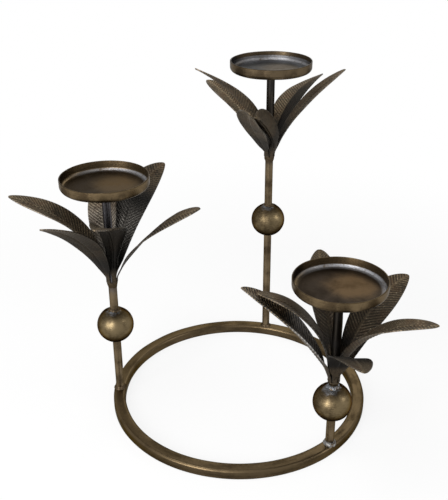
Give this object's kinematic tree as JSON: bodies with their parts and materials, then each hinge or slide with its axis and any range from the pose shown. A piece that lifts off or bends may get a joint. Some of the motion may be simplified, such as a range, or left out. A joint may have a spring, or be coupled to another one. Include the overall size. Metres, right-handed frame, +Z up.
{
  "type": "candle holder",
  "caption": "Metal candle holder: rods of different height rise from a floor ring, each through a ball and a bunch of pressed leaves, to a shallow round candle pan.",
  "frame": {"origin": "on the floor plane, under the middle of the whole outline seen from above", "axes": "+Z up; +Y away from the viewer of the picture, towards the high stem; +X to the viewer's right"},
  "size_m": [0.359, 0.3952, 0.311],
  "materials": {
    "ring_brass": "aged satin brass with brown patina",
    "stem_brass": "aged satin brass, darker towards the leaves",
    "ball_brass": "aged brass, half polished",
    "leaf_dark": "dark brown-black with veins rubbed to brass",
    "pan_brass": "spun brass with fine lines round it, brown patina",
    "weld_grey": "grey weld metal, lightly brushed"
  },
  "bodies": {
    "root": {"base_ring": "ring_brass", "low_stem": "stem_brass", "low_foot_weld": "weld_grey", "low_ball": "ball_brass", "low_ball_weld": "weld_grey", "low_bunch_weld": "weld_grey", "low_leaf_1": "leaf_dark", "low_leaf_2": "leaf_dark", "low_leaf_3": "leaf_dark", "low_leaf_4": "leaf_dark", "low_leaf_5": "leaf_dark", "low_leaf_6": "leaf_dark", "low_pan_weld": "weld_grey", "low_pan": "pan_brass", "mid_stem": "stem_brass", "mid_foot_weld": "weld_grey", "mid_ball": "ball_brass", "mid_ball_weld": "weld_grey", "mid_bunch_weld": "weld_grey", "mid_leaf_1": "leaf_dark", "mid_leaf_2": "leaf_dark", "mid_leaf_3": "leaf_dark", "mid_leaf_4": "leaf_dark", "mid_leaf_5": "leaf_dark", "mid_leaf_6": "leaf_dark", "mid_pan_weld": "weld_grey", "mid_pan": "pan_brass", "high_stem": "stem_brass", "high_foot_weld": "weld_grey", "high_ball": "ball_brass", "high_ball_weld": "weld_grey", "high_bunch_weld": "weld_grey", "high_leaf_1": "leaf_dark", "high_leaf_2": "leaf_dark", "high_leaf_3": "leaf_dark", "high_leaf_4": "leaf_dark", "high_leaf_5": "leaf_dark", "high_leaf_6": "leaf_dark", "high_pan_weld": "weld_grey", "high_pan": "pan_brass"}
  },
  "joints": []
}
